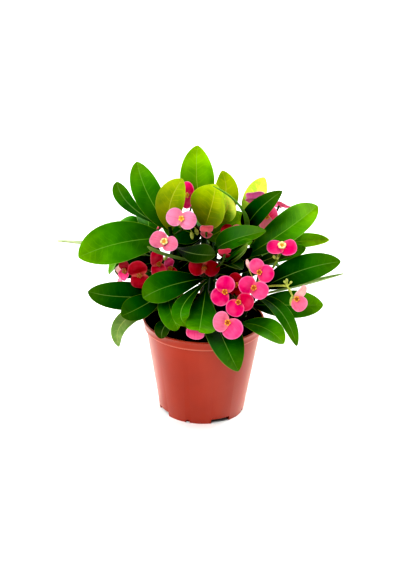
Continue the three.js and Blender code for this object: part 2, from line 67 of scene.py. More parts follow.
# Each leaf: stem, share along it, rib middle, tip, width, roll, share along the rib where it is widest,
# fold, tone, height of the wave
LEAVES = [
    ("west", 0.92, (-78, -16, 182), (-121, -35, 173), 44, -45, 0.6, 14, "fresh", 0.7),
    ("west", 1.0, (-72.5, 20, 205), (-87.5, 30, 227), 16, -60, 0.72, 14, "moss", 0.2),
    ("west", 1.0, (-57, 14, 221), (-68, 25, 250), 29, -45, 0.5, 14, "fresh", 0.5),
    ("west", 0.97, (-35, 4, 213), (-23, 6, 240), 29, 60, 0.6, 14, "olive", 0.5),
    ("west", 0.85, (-11, -32, 178), (10, -46, 183), 22, 45, 0.7, 14, "dusk", 0.4),
    ("west", 0.75, (-67, -2, 151), (-88, -5, 147), 22, -60, 0.6, 14, "deep", 0.4),
    ("heart", 0.85, (-35, -30, 174), (-55, -42, 189), 9, 30, 0.6, 14, "dull", 0.2),
    ("heart", 1.0, (26, -20, 188), (58, -22, 199), 26, 42, 0.5, 20, "moss", 0.3),
    ("heart", 0.8, (31, -28, 182), (45, -34, 193), 12, 60, 0.5, 20, "moss", 0.2),
    ("heart", 0.8, (33, -34, 178), (40, -40, 193), 10, 60, 0.5, 20, "dull", 0.2),
    ("heart", 0.9, (24, -30, 168), (36, -40, 166), 22, 0, 0.6, 14, "shade", 0.3),
    ("crown", 1.0, (-9.5, 36, 227), (-9.5, 45, 261), 35, -10, 0.53, 14, "lime", 0.5),
    ("crown", 0.9, (6, 8, 214), (9, 2, 237), 43, 120, 0.55, 24, "yellow", 0.4),
    ("crown", 0.95, (20, 5, 209.2), (14.5, 2, 230), 23, 115, 0.6, 14, "gold", 0.3),
    ("crown", 1.0, (18, 31, 211), (15, 38, 238), 28, 40, 0.52, 14, "olive", 0.4),
    ("crown", 0.86, (-21, 24, 180), (-44, 30, 194), 30, -60, 0.55, 14, "green", 0.5),
    ("crown", 0.82, (19, 26, 182), (38, 38, 190), 28, 60, 0.55, 14, "lime", 0.5),
    ("crown", 0.82, (-18, 30, 156), (-34, 32, 140), 26, -60, 0.6, 14, "shade", 0.5),
    ("heart", 0.7, (17, 8, 140), (38, 6, 130), 24, 60, 0.55, 14, "shade", 0.5),
    ("crown", 0.78, (-18, 14, 148), (-33, 15, 139), 24, -60, 0.6, 14, "shade", 0.6),
    ("east", 0.62, (43, 12, 156), (57, 20, 148), 21, 50, 0.6, 14, "shade", 0.6),
    ("east", 0.58, (68, -4, 165), (87, -8, 170), 11, 60, 0.5, 14, "dull", 0.3),
    ("east", 0.97, (32, -4, 217), (6, -14, 241), 12, -20, 0.4, 14, "fresh", 0.2),
    ("east", 1.0, (46, 38, 205), (57.5, 48, 228), 22.5, 20, 0.6, 14, "gold", 0.4),
    ("east", 0.95, (50.5, 8, 208), (73, 0, 232), 22, 90, 0.45, 14, "deep", 0.5),
    ("east", 0.7, (76.5, 14, 184), (109, 20, 210), 36, 40, 0.62, 14, "bright", 0.8),
    ("east", 0.6, (72, 24, 153), (100, 28, 162), 14, 50, 0.7, 14, "fresh", 0.3),
    ("northeast", 0.9, (88, 46, 160), (124, 45, 164), 18, 35, 0.6, 14, "lime", 0.4),
    ("southeast", 0.97, (93, -16, 156), (132, -10, 164), 29, 50, 0.52, 14, "dark", 0.6),
    ("southeast", 0.85, (96, -8, 137), (137, 5, 145), 16, -20, 0.6, 14, "pale", 0.4),
    ("southeast", 0.7, (80, -26, 123.5), (116, -25, 124), 29, 50, 0.58, 14, "green", 0.5),
    ("southeast", 0.85, (74, -46, 125), (90, -60, 96), 16.5, 20, 0.55, 14, "moss", 0.3),
    ("southeast", 0.42, (59, -40, 105), (78, -50, 93.5), 25, 20, 0.58, 14, "fresh", 0.4),
    ("south", 1.0, (-33, -48, 151), (-58, -58, 142), 32, -40, 0.62, 14, "dark", 0.5),
    ("southwest", 1.0, (-32, -56, 129), (-24, -64, 113), 28, 0, 0.6, 14, "fresh", 0.5),
    ("south", 0.95, (-20, -72, 140.5), (-17, -82, 125.5), 18, 0, 0.6, 14, "green", 0.3),
    ("south", 0.92, (-2, -70, 130), (-4, -80, 119), 36, -8, 0.68, 14, "green", 0.6),
    ("front", 0.9, (21, -72, 102), (34, -85, 80), 39, 0, 0.4, 14, "dark", 0.8),
    ("southwest", 0.85, (-80, -30, 130.5), (-112.5, -30, 135.5), 29.5, -50, 0.47, 14, "deep", 0.5),
    ("southwest", 0.95, (-60, -42, 126), (-79, -54, 121), 26, -40, 0.62, 14, "deep", 0.5),
    ("southwest", 0.75, (-75.5, -26, 105), (-82.5, -24, 74), 17, -60, 0.5, 14, "pale", 0.3),
    ("southwest", 0.5, (-37, -46, 108), (-40, -54, 98), 17, 0, 0.6, 14, "dusk", 0.3),
    ("northwest", 0.95, (-101, 38, 155), (-148.5, 34, 161.3), 16, 10, 0.6, 14, "mist", 0.3),
]

# Leaves of the far side: stem, share along it, heading, rise at the foot, fall along it, length, width,
# tone
FAR_LEAVES = [
    ("northwest", 1.0, 95, 45, 60, 62, 26, "fresh"),
    ("northwest", 1.0, 150, 40, 70, 60, 27, "green"),
    ("northwest", 0.85, 200, 20, 60, 60, 26, "green"),
    ("northwest", 0.75, 125, 15, 70, 56, 26, "deep"),
    ("northwest", 0.6, 165, 0, 60, 52, 24, "deep"),
    ("north", 0.93, 50, 40, 60, 58, 27, "green"),
    ("north", 0.9, 125, 38, 60, 60, 27, "fresh"),
    ("north", 0.95, 90, 30, 80, 56, 28, "green"),
    ("north", 0.8, 75, 10, 60, 54, 26, "deep"),
    ("north", 0.65, 110, 0, 60, 48, 24, "deep"),
    ("northeast", 0.88, 85, 38, 60, 60, 27, "green"),
    ("northeast", 0.9, 20, 30, 60, 58, 26, "fresh"),
    ("northeast", 0.8, 65, 15, 70, 56, 26, "green"),
    ("northeast", 0.7, 20, 10, 60, 54, 24, "deep"),
    ("northeast", 0.6, 45, 0, 60, 50, 24, "deep"),
    ("crown", 0.95, 110, 60, 60, 54, 26, "fresh"),
    ("crown", 0.9, 60, 50, 60, 52, 24, "green"),
    ("north", 0.98, 0, 50, 40, 46, 26, "fresh"),
    ("north", 0.9, 185, 50, 40, 46, 26, "green"),
]

# Flower stalks: cluster, stem, share along it, the point where they part
CLUSTERS = [
    ("01", "west", 0.93, (-22, 2, 189)),
    ("02", "west", 0.8, (-38, -14, 177)),
    ("03", "west", 0.66, (-61, -14, 150)),
    ("04", "west", 0.72, (-41, -16, 162)),
    ("05", "heart", 0.74, (3, -24, 160)),
    ("06", "crown", 0.85, (1, 4, 182)),
    ("07", "east", 0.86, (30, 12, 184)),
    ("08", "east", 0.9, (49, 26, 197)),
    ("09", "southeast", 0.99, (70, -17, 166)),
    ("10", "southeast", 0.9, (50, -36, 149)),
    ("11", "heart", 0.7, (26, -38, 144)),
    ("12", "front", 0.97, (18, -58, 119)),
    ("13", "southeast", 1.0, (80, -38, 149)),
    ("14", "northwest", 0.9, (-52, 74, 160)),
    ("15", "north", 1.03, (7, 72, 180)),
    ("16", "northeast", 1.03, (62, 60, 176)),
]

# Each flower: cluster, middle, heading from the front, lift, the turns of its two bracts from upright,
# bract length, the tones of the two bracts, and the size of its glands
FLOWERS = [
    ("01", (-23.5, -12, 206), 0, 25, 77, -103, 15, "pink", "pink", 1.15),
    ("01", (-17.5, 19.5, 218.5), -35, 15, 180, 20, 13.5, "magenta", "magenta", 1),
    ("02", (-39, -24, 186), -15, 45, 75, -105, 15.5, "candy", "candy", 1.7),
    ("03", (-76, -26, 156.5), -40, 10, 165, 15, 10.5, "magenta", "crimson", 1.2),
    ("03", (-62.5, -32, 155.5), 0, -10, 17, -174, 16, "crimson", "crimson", 1),
    ("03", (-81, -14, 147), -60, 10, 27, -146, 10, "blush", "pink", 1),
    ("04", (-45.5, -26, 164), 40, 15, 10, 172, 14.5, "ruby", "ruby", 1),
    ("04", (-34.5, -16, 156), 30, 10, 10, -170, 10.5, "rose", "crimson", 1),
    ("05", (-0.5, -34, 165.5), 0, -5, 85, -95, 15, "crimson", "crimson", 1),
    ("05", (18.5, -38, 181), 180, 45, 0, 180, 10.5, "ruby", "crimson", 1),
    ("06", (1, -6, 190), 180, 35, 0, 180, 11, "coral", "coral", 1),
    ("07", (26, 2, 187.5), 0, 20, 75, -80, 11.5, "crimson", "coral", 1),
    ("07", (36, 3, 187.5), 20, 20, 70, -75, 8.5, "coral", "coral", 1),
    ("08", (47.5, 20, 215.5), 180, 45, 0, 180, 15.5, "orchid", "orchid", 1),
    ("08", (59.5, 34, 192), 20, 20, -60, 165, 13, "rose", "pink", 1),
    ("09", (74, -16, 181), 0, 55, 106, -109, 15, "magenta", "magenta", 2.0),
    ("10", (52, -46, 166.5), 0, 20, 25, -103, 14.5, "rose", "magenta", 1),
    ("10", (47, -52, 153), 0, 15, 70, -115, 15, "magenta", "rose", 1.1),
    ("11", (19.5, -54, 149), 0, 15, -4, 138, 15.5, "magenta", "magenta", 1.1),
    ("11", (32.5, -62, 142), 0, 15, -87, 152, 15, "cerise", "magenta", 1),
    ("11", (30, -42, 152), 0, 0, 10, -170, 12, "crimson", "crimson", 1),
    ("12", (22.5, -83, 130), 0, 20, 83, -142, 17.5, "candy", "rose", 1.2),
    ("12", (-7.5, -62, 115.5), 0, -10, 178, 0, 15, "rose", "pink", 1),
    ("13", (88, -44, 138.5), 20, 20, -152, -45, 13.5, "candy", "blush", 1.1),
    ("14", (-46, 92, 158), 180, 30, 80, -100, 15, "magenta", "rose", 1),
    ("14", (-66, 78, 160), 200, 20, 30, -150, 15, "rose", "pink", 1),
    ("15", (-6, 76, 196), 190, 60, 90, -90, 13, "pink", "pink", 1.2),
    ("15", (17, 74, 201), 170, 70, 80, -100, 12, "magenta", "magenta", 1),
    ("16", (74, 80, 186), 150, 50, 70, -110, 14, "magenta", "magenta", 1),
    ("16", (60, 64, 192), 180, 80, 90, -90, 12, "rose", "rose", 1),
]

# Clusters whose glands or stalks aren't of the usual tone
GLAND_TONES = {"01": "lemon", "02": "cream", "03": "ochre", "04": "ochre", "05": "ochre", "09": "cream"}
PALE_GLANDS = ("lemon", "cream")
STALK_TONES = {"13": "bud", "09": "sprout"}

# Bracts of another form: cluster, flower and bract, then their length and breadth against the usual
STRETCHES = {
    ("02", 0, 1): (0.9, 0.85),
    ("10", 0, 0): (0.95, 0.85),
    ("12", 0, 0): (0.8, 0.95),
    ("13", 0, 1): (1.2, 0.55),
}

# Buds on stalks of their own: cluster, place, heading, length, tone
BUDS = [
    ("01", (-13, -6, 186.5), (0.15, 0, -1), 8.5, "bud"),
    ("01", (-8.5, -4, 189.5), (0.3, -0.1, -1), 7, "bud"),
    ("10", (41, -42, 173), (-0.25, 0, 1), 10, "blush"),
    ("13", (84, -42, 135), (-0.05, 0, -1), 10, "bud"),
]

# Tones of leaves, bracts, stems and soil
TONES = dict(
    # shade is painted shade: a near-black green for leaves deep inside the plant
    shade="#0c3306",
    dusk="#1a3d08",
    deep="#1c5c05",
    dark="#256c06",
    moss="#2c6e05",
    green="#3a8407",
    fresh="#458d07",
    bright="#54990a",
    lime="#76ac04",
    olive="#94a008",
    yellow="#a0af0a",
    dull="#50702a",
    gold="#dfe965",
    pale="#748a4c",
    mist="#a0a586",
    pink="#ee8eae",
    candy="#e67a98",
    rose="#e64a88",
    magenta="#e00674",
    cerise="#c4024e",
    orchid="#ff72d4",
    ruby="#c4103a",
    crimson="#9c041e",
    coral="#ff6468",
    blush="#eebcb4",
    gland="#ecae34",
    lemon="#f8d860",
    cream="#f4e9a4",
    ochre="#9c6a22",
    heart="#b8601a",
    # stalk is the pedicels' olive green, darkened with painted shade for stalks inside the plant
    stalk="#3c4f17",
    sprout="#6f8426",
    bud="#b4bc5c",
    wood="#7b6248",
    # shoot is the young stems' green, darkened with painted shade for the plant's dark heart
    shoot="#1a3010",
    spine="#4e4433",
    soil="#281a10",
)


def linear(tone):
    """A tone's linear red, green and blue."""
    code = TONES[tone]
    parts = [int(code[i:i + 2], 16) / 255 for i in (1, 3, 5)]
    return np.array([c / 12.92 if c <= 0.04045 else ((c + 0.055) / 1.055) ** 2.4 for c in parts])


# Lines and directions, for one place along a path or for a row of them
def unit(v):
    return v / norm(v, axis=-1, keepdims=True)


def square_to(v, axis):
    return unit(v - np.sum(v * axis, axis=-1, keepdims=True) * axis)


def turned(v, axis, degrees):
    a = radians(degrees)
    return v * cos(a) + np.cross(axis, v) * sin(a) + axis * (v @ axis) * (1 - cos(a))


def points(*rows):
    return [np.array(row, float) for row in rows]


def curve(path, s):
    s = np.asarray(s, float)[..., None]
    return (1 - s) ** 2 * path[0] + 2 * s * (1 - s) * path[1] + s * s * path[2]


def heading(path, s):
    s = np.asarray(s, float)[..., None]
    return unit((1 - s) * (path[1] - path[0]) + s * (path[2] - path[1]))


def through(start, middle, end):
    return [start, 2 * middle - (start + end) / 2, end]


# A piece's surfaces as they are gathered, in millimetres
class Body:
    def __init__(self):
        self.points, self.tints, self.laminas, self.shares = [], [], [], []
        self.faces, self.kinds = [], []
        self.count = 0

    def add(self, places, faces, kind, tint, lamina, share):
        """tint is a colour or a row of them, lamina holds millimetres along and across and a seed,
        and share holds the shares along and across and 1 on an underside."""
        n = len(places)
        self.points.append(places)
        self.tints.append(np.broadcast_to(tint, (n, 3)))
        self.laminas.append(lamina)
        self.shares.append(share)
        self.faces += [tuple(i + self.count for i in face) for face in faces]
        self.kinds += [kind] * len(faces)
        self.count += n


def placed(name, data):
    """A new object in the scene."""
    made = bpy.data.objects.new(name, data)
    scene.collection.objects.link(made)
    return made


def new_piece(name, body, replaced, crease=50):
    """A Blender object of the gathered surfaces, which may stand for a CAD node."""
    mesh = bpy.data.meshes.new(name)
    mesh.from_pydata((np.concatenate(body.points) * MM).tolist(), [], body.faces)
    order = sorted(set(body.kinds))
    for kind in order:
        mesh.materials.append(materials[kind])
    mesh.polygons.foreach_set("material_index", [order.index(kind) for kind in body.kinds])
    tint = mesh.attributes.new("tint", "FLOAT_COLOR", "POINT")
    colours = np.concatenate(body.tints)
    tint.data.foreach_set("color", np.column_stack([colours, np.ones(len(colours))]).ravel())
    for label, rows in (("lamina", body.laminas), ("share", body.shares)):
        layer = mesh.attributes.new(label, "FLOAT_VECTOR", "POINT")
        layer.data.foreach_set("vector", np.concatenate(rows).ravel())
    mesh.polygons.foreach_set("use_smooth", [True] * len(mesh.polygons))
    mesh.set_sharp_from_angle(angle=radians(crease))
    mesh.validate()
    piece = placed(name, mesh)
    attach(piece, "root")
    if replaced:
        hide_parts(replaced)


def sheet(body, upper, lower, along, across, kind, tint, seed):
    """A thin closed body between two grids of points.

    along and across each hold the points' shares that way and their millimetres."""
    rows, columns = upper.shape[:2]
    n = rows * columns
    grid = np.arange(n).reshape(rows, columns)
    a, b, c, d = grid[:-1, :-1], grid[:-1, 1:], grid[1:, 1:], grid[1:, :-1]
    top = np.stack([a, b, c, d], -1).reshape(-1, 4)
    rim = [*grid[0, :-1], *grid[:-1, -1], *grid[-1, :0:-1], *grid[:0:-1, 0]]
    edge = [(q, p, n + p, n + q) for p, q in zip(rim, rim[1:] + rim[:1])]
    faces = [*map(tuple, top), *map(tuple, n + top[:, ::-1]), *edge]
    share, distance, length = across[0], across[1], along[1]
    lamina = np.stack([length, distance, np.full_like(length, seed)], -1).reshape(-1, 3)
    flags = [np.stack([along[0], share, np.full_like(share, under)], -1).reshape(-1, 3)
             for under in (0, 1)]
    body.add(np.concatenate([upper.reshape(-1, 3), lower.reshape(-1, 3)]), faces, kind, tint,
             np.concatenate([lamina, lamina]), np.concatenate(flags))


def tube(body, centres, radii, sides, kind, tint, seed=0.0):
    """A closed round body through a row of centres.

    radii holds a number for each centre, or one for each of its sides."""
    along = unit(np.gradient(centres, axis=0))
    chord = unit(centres[-1] - centres[0])
    u = square_to(X_AXIS if abs(chord[0]) < 0.8 else Z_AXIS, along)
    v = np.cross(along, u)
    angle = np.linspace(0, 2 * pi, sides, endpoint=False)
    spokes = np.cos(angle)[:, None] * u[:, None] + np.sin(angle)[:, None] * v[:, None]
    radii = np.asarray(radii, float)
    radii = radii[:, None] if radii.ndim == 1 else radii
    places = centres[:, None] + radii[..., None] * spokes
    rows = len(centres)
    grid = np.arange(rows * sides).reshape(rows, sides)
    after = np.roll(grid, -1, axis=1)
    wall = np.stack([grid[:-1], after[:-1], after[1:], grid[1:]], -1).reshape(-1, 4)
    faces = [*map(tuple, wall), tuple(grid[0, ::-1]), tuple(grid[-1])]
    steps = norm(np.diff(centres, axis=0), axis=1)
    length = np.concatenate([[0], np.cumsum(steps)])
    lamina = np.stack(np.broadcast_arrays(length[:, None], radii * angle, seed), -1).reshape(-1, 3)
    share = np.stack(np.broadcast_arrays((length / length[-1])[:, None], angle / (2 * pi), 0.0), -1)
    body.add(places.reshape(-1, 3), faces, kind, tint, lamina, share.reshape(-1, 3))


def ball(body, centre, axis, length, radius, kind, tint, seed=0.0, rows=7, sides=8):
    """An egg-shaped body along an axis."""
    s = np.cos(np.linspace(pi, 0, rows))
    radii = radius * np.sqrt(np.maximum(1 - s * s, 0.002))
    tube(body, centre + np.outer(0.5 * length * s, axis), radii, sides, kind, tint, seed)


# Leaves; ripples and sways are counted in half turns along them
LEAF_POINT = 0.68
LEAF_NECK = 0.12
LEAF_NECK_WIDTH = 0.3
LEAF_ROOT = 1.4
PETIOLE = 1.2
LEAF_TIP = 0.12
LEAF_ROWS = 30
LEAF_COLUMNS = 17
LEAF_EDGE = 0.26
LEAF_MIDDLE = 0.36
LEAF_FOOT = 0.5
LEAF_FOOT_REACH = 0.05
LEAF_CURL = 1.25
RIPPLES = 2.6
RIPPLE_CURL = 2.5
SWAYS = 1.4
SWAY = 0.5
RIB_HEIGHT = 0.5
RIB_REACH = 1.1
RIB_TAPER = 0.7
FAR_PEAK = 0.6
FAR_FOLD = 14
FAR_WAVE = 0.6
FAR_SEED = 60
FRESH_TONES = ("moss", "fresh", "bright", "lime")
GOLDEN_TONES = ("olive", "yellow", "gold", "pale", "mist")


def leaf_half_width(t, width, peak):
    rise = LEAF_POINT * peak / (1 - peak)
    full = peak ** rise * (1 - peak) ** LEAF_POINT
    swell = t ** rise * (1 - t) ** LEAF_POINT / full
    share = swell * np.minimum(1, LEAF_NECK_WIDTH + t / LEAF_NECK)
    return np.maximum(0.5 * width * share, np.where(t < 0.5, PETIOLE, LEAF_TIP))


def leaf(body, start, middle, tip, width, roll, peak, fold, tone, wave, seed):
    path = through(start, middle, tip)
    line = unit(tip - start)
    face = turned(square_to(Z_AXIS, line), line, roll)
    t = 0.5 - 0.5 * np.cos(np.linspace(0, pi, LEAF_ROWS))
    x = np.linspace(-1, 1, LEAF_COLUMNS)
    along = heading(path, t)
    normal = square_to(face, along)
    side = np.cross(along, normal)
    half = leaf_half_width(t, width, peak)
    length = norm(tip - start)
    angle = radians(fold)

    # Two halves that curve up from the rib, with a slow wave along the margins
    draw = Random(seed)
    phase = [draw.uniform(0, 2 * pi) for _ in range(3)]
    ripple = np.sin(RIPPLES * pi * t[:, None] + np.where(x > 0, phase[0], phase[1]))
    slow = np.sin(SWAYS * pi * t[:, None] + phase[2])
    bend = ripple * np.abs(x) ** RIPPLE_CURL + SWAY * slow * x
    margin = wave * (half / half.max())[:, None] * bend
    lift = half[:, None] * sin(angle) * np.abs(x) ** LEAF_CURL + margin
    across = x * half[:, None]
    middle_sheet = (curve(path, t)[:, None]
                    + side[:, None] * (across * cos(angle))[..., None]
                    + normal[:, None] * lift[..., None])
    thick = LEAF_EDGE + (LEAF_MIDDLE - LEAF_EDGE) * (1 - np.abs(x))
    rib = RIB_HEIGHT * (1 - RIB_TAPER * t)[:, None] * np.exp(-(across / RIB_REACH) ** 2)
    foot = LEAF_FOOT * np.exp(-t / LEAF_FOOT_REACH)[:, None]
    upper = middle_sheet + normal[:, None] * (thick + foot)[..., None]
    lower = middle_sheet - normal[:, None] * (thick + rib)[..., None]
    share = np.broadcast_to(x, across.shape)
    t_grid = np.broadcast_to(t[:, None], across.shape)
    kind = "fresh_leaf" if tone in FRESH_TONES else "golden_leaf" if tone in GOLDEN_TONES else "leaf"
    sheet(body, upper, lower, (t_grid, t_grid * length), (share, across), kind, linear(tone), seed)


def far_leaf(body, start, turn, rise, fall, length, width, tone, seed):
    flat = np.array((cos(radians(turn)), sin(radians(turn)), 0))

    def step(degrees):
        a = radians(degrees)
        return flat * cos(a) + Z_AXIS * sin(a)

    middle = start + step(rise) * length / 2
    tip = middle + step(rise - fall) * length / 2
    leaf(body, start, middle, tip, width, 0, FAR_PEAK, FAR_FOLD, tone, FAR_WAVE, seed)


# Stems with their spines
WOOD_RADIUS = 4.6
SPLIT_RADIUS = 3.6
SHOOT_RADIUS = 2.3
SHOOT_END = 1.03
STEM_ROWS = 44
STEM_SIDES = 20
STEM_GIRTH = 0.96
RIDGE = 0.028
RIDGES = 5
RIDGE_TWIST = 9
KNUCKLE = 0.015
KNUCKLES = 12
SPINE_LENGTH = 8
SHORT_SPINE = 0.6
SPINE_ROOT = 1.6
SPINE_RADIUS = 1.15
SPINE_TIP = 0.08
SPINE_TAPER = 0.8
SPINE_BOW = 0.9
SPINE_ROWS = 5
SPINE_SIDES = 6
SPINE_PITCH = 9
SPINE_PHASE = 0.6
SPINE_TURN = 137.5
SPINE_START_Z = 98
SPINE_MARGIN = 0.05

paths = {name: points(foot, bend, top) for name, foot, bend, top, _ in STEMS}
splits = {row[0]: row[4] for row in STEMS}


def wood_radius(name, s):
    return WOOD_RADIUS + (SPLIT_RADIUS - WOOD_RADIUS) * (s / splits[name])


def shoot_radius(name, s):
    split = splits[name]
    return SPLIT_RADIUS + (SHOOT_RADIUS - SPLIT_RADIUS) * ((s - split) / (1 - split))


def leaf_start(name, s, towards):
    centre = curve(paths[name], s)
    out = square_to(towards - centre, heading(paths[name], s))
    return centre + out * (shoot_radius(name, s) - LEAF_ROOT)


def spines(body, name, begin, end, radius_at, first):
    """Sharp spines round a stem, with a shorter one between each two."""
    path = paths[name]
    length = norm(path[2] - path[0])
    count = int((end - begin) * length / SPINE_PITCH)
    t = np.linspace(0, 1, SPINE_ROWS)[:, None]
    radii = SPINE_RADIUS * (1 - t[:, 0]) ** SPINE_TAPER + SPINE_TIP
    for i in range(2 * count):
        s = begin + (end - begin) * (i / 2 + SPINE_PHASE) / count
        centre = curve(path, s)
        if centre[2] < SPINE_START_Z or s > end:
            continue
        along = heading(path, s)
        out = turned(square_to(X_AXIS, along), along, SPINE_TURN * (i / 2 + first))
        reach = SPINE_LENGTH * (1 if i % 2 == 0 else SHORT_SPINE)
        bow = along * (SPINE_BOW * t * (1 - t))
        line = centre + out * (radius_at(name, s) - SPINE_ROOT + t * (reach + SPINE_ROOT)) + bow
        tube(body, line, radii, SPINE_SIDES, "spine", linear("spine"), seed=i)


def stem_tube(body, name, begin, end, radius_at, kind, tone, seed):
    """A stem with faint lengthwise ridges and knuckles."""
    s = np.linspace(begin, end, STEM_ROWS)
    angle = np.linspace(0, 2 * pi, STEM_SIDES, endpoint=False)
    ridge = RIDGE * np.sin(RIDGES * angle + RIDGE_TWIST * s[:, None] + seed)
    knuckle = KNUCKLE * np.sin(2 * pi * s * KNUCKLES + seed)[:, None]
    radii = radius_at(name, s)[:, None] * (STEM_GIRTH + ridge + knuckle)
    tube(body, curve(paths[name], s), radii, STEM_SIDES, kind, linear(tone), seed)


# Flowers
BRACT_RADIUS = 0.6
BRACT_MIDDLE = 0.42
BRACT_FOOT = 0.9
BRACT_CROWN = 0.97
BRACT_TWIST = 0.1
BRACT_ROOT = 0.2
BRACT_RISE = 1.8
BRACT_LIP = 0.5
BRACT_HALF_THICKNESS = 0.24
BRACT_ROWS = 22
BRACT_COLUMNS = 17
RUFFLE = 0.35
CUP_HEIGHT = 2.4
CUP_RADIUS = 2.1
CUP_PROFILE = [(1.3, 0), (1.7, 0.9), (CUP_RADIUS, 1.8), (1.9, CUP_HEIGHT), (1.2, 1.9), (0.2, 1.5)]
CUP_SIDES = 16
GLANDS = 5
GLAND_LENGTH = 2.1
GLAND_RADIUS = 0.72
STAMENS = 6
STAMEN_TURN = 0.3
STAMEN_FOOT = (0.3, 1.4)
STAMEN_TOP = (0.85, CUP_HEIGHT + 0.7)
STAMEN_RADIUS = 0.16
ANTHER_LENGTH = 0.6
ANTHER_RADIUS = 0.32
STALK_ROWS = 14
STALK_RADIUS = 1.25
STALK_WAIST = 0.25
STALK_ARCH = 2
PEDICEL_RADIUS = 0.95
PEDICEL_FLARE = 0.35
BUD_RADIUS = 2.0
BUD_BREADTH = 0.36
BUD_STALK_RADIUS = 0.6
HUB_BUDS = 3
HUB_STALK = 4
HUB_STALK_RADIUS = 0.7


def bract(body, middle, face, first, size, stretch, tone, seed):
    """One round bract, pinched at its foot, slightly cupped, with an uneven edge."""
    draw = Random(seed)
    side = np.cross(face, first)
    c = np.cos(np.linspace(pi, 0, BRACT_ROWS))
    x = BRACT_MIDDLE + BRACT_RADIUS * c * np.where(c < 0, BRACT_FOOT, BRACT_CROWN)
    round_half = size * BRACT_RADIUS * np.sqrt(np.maximum(1 - c ** 2, 0.0008))
    longer, broader = stretch
    half = broader * round_half
    y = np.linspace(-1, 1, BRACT_COLUMNS)
    u = np.maximum(0, x - BRACT_ROOT) / (1 - BRACT_ROOT)
    phase = [draw.uniform(0, 2 * pi) for _ in range(2)]
    off_middle = x[:, None] - BRACT_MIDDLE
    out = y * (round_half / (size * BRACT_RADIUS))[:, None]
    edge = np.hypot(off_middle / BRACT_RADIUS, out)
    across = y * half[:, None]
    around = np.arctan2(across, off_middle * size)
    ripple = np.sin(3 * around + phase[0]) + 0.6 * np.sin(5 * around + phase[1])
    cupped = (BRACT_RISE * 4 * u * (1 - u))[:, None] + BRACT_LIP * edge ** 4
    rise = cupped + RUFFLE * edge ** 3 * ripple + BRACT_TWIST * across
    centre = middle + first * (x * size * longer)[:, None]
    surface = centre[:, None] + side * across[..., None] + face * rise[..., None]
    thick = face * (BRACT_HALF_THICKNESS * (1.1 - 0.5 * edge))[..., None]
    t_grid = np.broadcast_to(x[:, None], across.shape)
    sheet(body, surface + thick, surface - thick, (t_grid, t_grid * size), (edge, across), "bract",
          linear(tone), seed)


def cyathium(body, middle, face, first, scale, tone, seed):
    """The small true flower in the middle: a cup, five glands round its mouth, and stamens."""
    side = np.cross(face, first)
    heart = linear("gland" if tone in PALE_GLANDS else "heart")
    r, z = np.array(CUP_PROFILE).T
    tube(body, middle + np.outer(z, face), r, CUP_SIDES, "cup", heart, seed)
    pale = linear(tone)
    for k in range(GLANDS):
        a = 2 * pi * (k + 0.5) / GLANDS
        out = first * cos(a) + side * sin(a)
        place = middle + out * CUP_RADIUS * scale ** 0.5 + face * CUP_HEIGHT
        ball(body, place, np.cross(face, out), GLAND_LENGTH * scale, GLAND_RADIUS * scale, "gland", pale,
             seed + k)
    for k in range(STAMENS):
        a = 2 * pi * k / STAMENS + STAMEN_TURN
        out = first * cos(a) + side * sin(a)
        foot, top = (middle + face * up + out * off for off, up in (STAMEN_FOOT, STAMEN_TOP))
        tube(body, np.linspace(foot, top, 3), np.full(3, STAMEN_RADIUS), 5, "gland", pale, seed + k)
        ball(body, top, face, ANTHER_LENGTH, ANTHER_RADIUS, "gland", heart, seed + k, rows=5, sides=6)


def bud(body, place, axis, size, seed, tone="bud"):
    radius = min(BUD_BREADTH * size, BUD_RADIUS)
    ball(body, place, axis, size, radius, "bud", linear(tone), seed, rows=11, sides=14)


def bloom(body, name, stem, s, hub):
    """A stalk that parts into flowers and buds."""
    parting = np.array(hub, float)
    root = curve(paths[stem], s)
    stalk = [root, (root + parting) / 2 + Z_AXIS * STALK_ARCH, parting]
    green = linear(STALK_TONES.get(name, "stalk"))
    steps = np.linspace(0, 1, STALK_ROWS)
    radii = STALK_RADIUS - STALK_WAIST * np.sin(pi * steps)
    tube(body, curve(stalk, steps), radii, 12, "stalk", green)
    seed = 100 * int(name)
    for i, row in enumerate(row for row in FLOWERS if row[0] == name):
        _, place, turn, lift, one, other, size, tone, other_tone, glands = row
        seed += 10
        middle = np.array(place, float)
        a, e = radians(turn), radians(lift)
        face = np.array((sin(a) * cos(e), -cos(a) * cos(e), sin(e)))
        first, second = (turned(square_to(Z_AXIS, face), face, angle) for angle in (one, other))
        for k, (towards, shade) in enumerate(((first, tone), (second, other_tone))):
            stretch = STRETCHES.get((name, i, k), (1, 1))
            bract(body, middle, face, towards, size, stretch, shade, seed + 1 + k)
        cyathium(body, middle, face, first, glands, GLAND_TONES.get(name, "gland"), seed + 3)
        reach = norm(parting - middle)
        pedicel = [parting, middle - face * 0.5 * reach, middle]
        radii = PEDICEL_RADIUS + PEDICEL_FLARE * steps ** 6
        tube(body, curve(pedicel, steps), radii, 10, "stalk", green, seed)
    draw = Random(seed)
    for k in range(HUB_BUDS):
        a = 2 * pi * k / HUB_BUDS + draw.uniform(0, 2)
        out = unit(np.array((cos(a), sin(a), 1.4)))
        line = np.linspace(parting, parting + out * HUB_STALK, 4)
        tube(body, line, np.full(4, HUB_STALK_RADIUS), 8, "stalk", green, seed)
        bud(body, parting + out * (HUB_STALK + 1.4), out, draw.uniform(3.2, 4.8), seed + k)
    for i, (_, place, towards, length, tone) in enumerate(row for row in BUDS if row[0] == name):
        tip, axis = points(place, towards)
        axis = unit(axis)
        line = curve([parting, tip - axis * length, tip - axis * length / 2], steps)
        tube(body, line, np.full(STALK_ROWS, BUD_STALK_RADIUS), 8, "stalk", linear("bud"), seed)
        bud(body, tip, axis, length, seed + 5 + i, tone)


